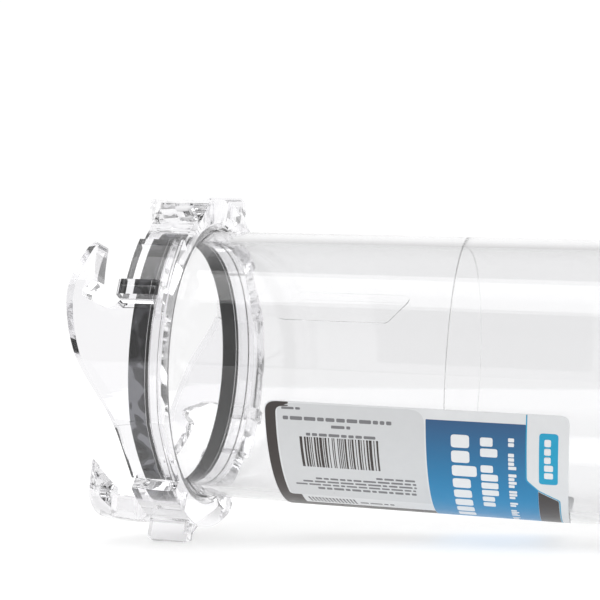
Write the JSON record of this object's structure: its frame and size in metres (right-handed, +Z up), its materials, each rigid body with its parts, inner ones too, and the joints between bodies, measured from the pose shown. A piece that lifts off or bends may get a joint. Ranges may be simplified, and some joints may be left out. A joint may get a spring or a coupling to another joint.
{
  "type": "sewer hose bayonet extender",
  "caption": "Clear straight tube that extends a caravan waste outlet, with a swivelling hook collar and seal at one end and a lug ring at the other.",
  "frame": {"origin": "on the tube axis at the bonded seam between the two tube halves", "axes": "+X along the tube axis from the hook collar to the lug ring, +Z up, the front is -Y"},
  "size_m": [0.1786, 0.111, 0.111],
  "materials": {
    "clear_tube": "gloss",
    "clear_collar": "gloss",
    "seal_rubber": "satin",
    "label_film": "gloss"
  },
  "bodies": {
    "tube": {"flanged_tube": "clear_tube", "lug_tube": "clear_tube", "seal": "seal_rubber", "label": "label_film"},
    "collar": {"bayonet_collar": "clear_collar"}
  },
  "joints": [
    {"name": "collar_swivel", "type": "hinge", "parent": "tube", "child": "collar", "pos_m": [-0.0845, 0, 0], "axis": [1, 0, 0], "continuous": true}
  ]
}
